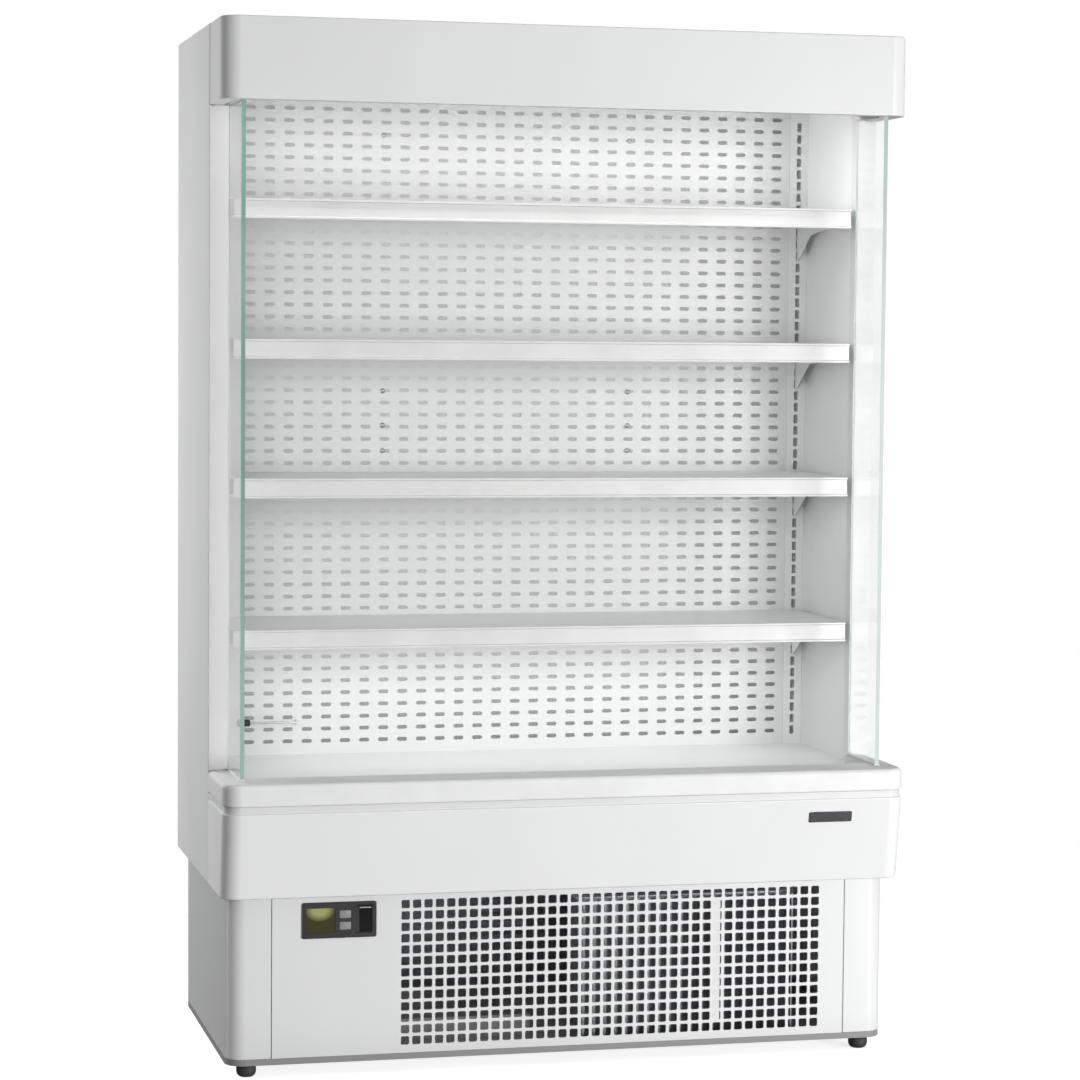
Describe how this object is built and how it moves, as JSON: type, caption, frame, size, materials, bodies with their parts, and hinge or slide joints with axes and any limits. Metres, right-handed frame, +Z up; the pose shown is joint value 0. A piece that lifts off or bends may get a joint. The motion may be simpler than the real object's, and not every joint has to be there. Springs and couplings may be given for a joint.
{
  "type": "open multideck display fridge",
  "caption": "Open-front upright display fridge: insulated cabinet with a deep header, glass end panels, perforated back, hung shelves, a bumper and a vented base with controls and feet.",
  "frame": {"origin": "on the floor, under the centre of the cabinet's width and depth", "axes": "+Z up, +X to the right of someone who faces the cabinet, +Y from its open front to its back"},
  "size_m": [1.345, 0.68, 2],
  "materials": {
    "paint": "smooth satin white powder coat",
    "side_paint": "smooth satin light grey-white powder coat",
    "inner_paint": "smooth glossy white stove enamel",
    "white_plastic": "smooth satin white moulding",
    "dark_plastic": "fine-grained black moulding",
    "key_grey": "soft matte grey keys",
    "display": "glossy olive display window",
    "frame_steel": "matte dark grey paint",
    "galvanised": "dull galvanised sheet",
    "aluminium": "plain rolled aluminium",
    "black_steel": "satin black paint",
    "foot_rubber": "matte black rubber",
    "glass": "clear float glass with green polished edges",
    "lamp": "white glass lamp tube",
    "blind_cloth": "matte woven blind cloth"
  },
  "bodies": {
    "cabinet": {"tub": "inner_paint", "side_wall_left": "side_paint", "side_wall_right": "side_paint", "rear_wall": "side_paint", "roof_panel": "side_paint", "fascia_panel": "paint", "bumper_rail": "white_plastic", "header_fascia": "paint", "glass_left": "glass", "glass_right": "glass", "back_panel": "inner_paint", "upright_left": "inner_paint", "upright_right": "inner_paint", "ceiling_panel": "inner_paint", "air_honeycomb": "white_plastic", "deck_tray": "inner_paint", "return_air_grille": "inner_paint", "temperature_probe": "dark_plastic", "lamp_batten": "white_plastic", "lamp_tube": "lamp", "base_frame": "frame_steel", "base_side_left": "paint", "base_side_right": "paint", "base_rear_panel": "galvanised", "grille_panel": "paint", "controller_housing": "dark_plastic", "display_window": "display", "condenser": "aluminium", "condenser_shroud": "black_steel", "compressor": "black_steel", "evaporator": "aluminium"},
    "levelling_foot_front_left": {"foot_front_left": "foot_rubber"},
    "levelling_foot_front_right": {"foot_front_right": "foot_rubber"},
    "levelling_foot_rear_left": {"foot_rear_left": "foot_rubber"},
    "levelling_foot_rear_right": {"foot_rear_right": "foot_rubber"},
    "shelf_unit_1": {"shelf_1": "inner_paint", "price_rail_1": "white_plastic", "bracket_left_1": "inner_paint", "bracket_right_1": "inner_paint"},
    "shelf_unit_2": {"shelf_2": "inner_paint", "price_rail_2": "white_plastic", "bracket_left_2": "inner_paint", "bracket_right_2": "inner_paint"},
    "shelf_unit_3": {"shelf_3": "inner_paint", "price_rail_3": "white_plastic", "bracket_left_3": "inner_paint", "bracket_right_3": "inner_paint"},
    "shelf_unit_4": {"shelf_4": "inner_paint", "price_rail_4": "white_plastic", "bracket_left_4": "inner_paint", "bracket_right_4": "inner_paint"},
    "key_up": {"key_up": "key_grey"},
    "key_down": {"key_down": "key_grey"},
    "light_switch": {"light_switch": "dark_plastic"},
    "condenser_fan": {"condenser_fan": "black_steel"},
    "evaporator_fan_left": {"evaporator_fan_left": "black_steel"},
    "evaporator_fan_right": {"evaporator_fan_right": "black_steel"},
    "blind_roller": {"blind_roller": "blind_cloth"},
    "blind_pull": {"blind_pull_bar": "aluminium", "blind_fabric": "blind_cloth"}
  },
  "joints": [
    {"name": "foot_front_left_screw", "type": "slide", "parent": "cabinet", "child": "levelling_foot_front_left", "axis": [0, 0, -1], "range_m": [0, 0.02]},
    {"name": "foot_front_right_screw", "type": "slide", "parent": "cabinet", "child": "levelling_foot_front_right", "axis": [0, 0, -1], "range_m": [0, 0.02]},
    {"name": "foot_rear_left_screw", "type": "slide", "parent": "cabinet", "child": "levelling_foot_rear_left", "axis": [0, 0, -1], "range_m": [0, 0.02]},
    {"name": "foot_rear_right_screw", "type": "slide", "parent": "cabinet", "child": "levelling_foot_rear_right", "axis": [0, 0, -1], "range_m": [0, 0.02]},
    {"name": "shelf_1_tilt", "type": "hinge", "parent": "cabinet", "child": "shelf_unit_1", "pos_m": [0, 0.1997, 1.6687], "axis": [-1, 0, 0], "range_deg": [0, 18]},
    {"name": "shelf_2_tilt", "type": "hinge", "parent": "cabinet", "child": "shelf_unit_2", "pos_m": [0, 0.1997, 1.4003], "axis": [-1, 0, 0], "range_deg": [0, 18]},
    {"name": "shelf_3_tilt", "type": "hinge", "parent": "cabinet", "child": "shelf_unit_3", "pos_m": [0, 0.1997, 1.1319], "axis": [-1, 0, 0], "range_deg": [0, 18]},
    {"name": "shelf_4_tilt", "type": "hinge", "parent": "cabinet", "child": "shelf_unit_4", "pos_m": [0, 0.1997, 0.8391], "axis": [-1, 0, 0], "range_deg": [0, 18]},
    {"name": "key_up_press", "type": "slide", "parent": "cabinet", "child": "key_up", "axis": [0, 1, 0], "range_m": [0, 0.0008], "stiffness_N_per_m": 300, "springref_m": -0.002},
    {"name": "key_down_press", "type": "slide", "parent": "cabinet", "child": "key_down", "axis": [0, 1, 0], "range_m": [0, 0.0008], "stiffness_N_per_m": 300, "springref_m": -0.002},
    {"name": "light_switch_rock", "type": "hinge", "parent": "cabinet", "child": "light_switch", "pos_m": [-0.391, -0.268, 0.3005], "axis": [-1, 0, 0], "range_deg": [0, 10]},
    {"name": "condenser_fan_spin", "type": "hinge", "parent": "cabinet", "child": "condenser_fan", "pos_m": [0.26, -0.1494, 0.1708], "axis": [0, 1, 0], "continuous": true},
    {"name": "evaporator_fan_left_spin", "type": "hinge", "parent": "cabinet", "child": "evaporator_fan_left", "pos_m": [-0.3, -0.12, 0.505], "axis": [0, 0, 1], "continuous": true},
    {"name": "evaporator_fan_right_spin", "type": "hinge", "parent": "cabinet", "child": "evaporator_fan_right", "pos_m": [0.3, -0.12, 0.505], "axis": [0, 0, 1], "continuous": true},
    {"name": "blind_pull", "type": "slide", "parent": "cabinet", "child": "blind_pull", "axis": [0, 0, -1], "range_m": [0, 1.27], "stiffness_N_per_m": 8, "springref_m": -1.5, "deforming": ["blind_fabric"]},
    {"name": "blind_roll", "type": "hinge", "parent": "cabinet", "child": "blind_roller", "pos_m": [0, -0.274, 1.905], "axis": [-1, 0, 0], "range_deg": [0, 3640]}
  ],
  "couplings": [
    {"joint": "blind_roll", "follows": "blind_pull", "rad_per_m": 50}
  ]
}
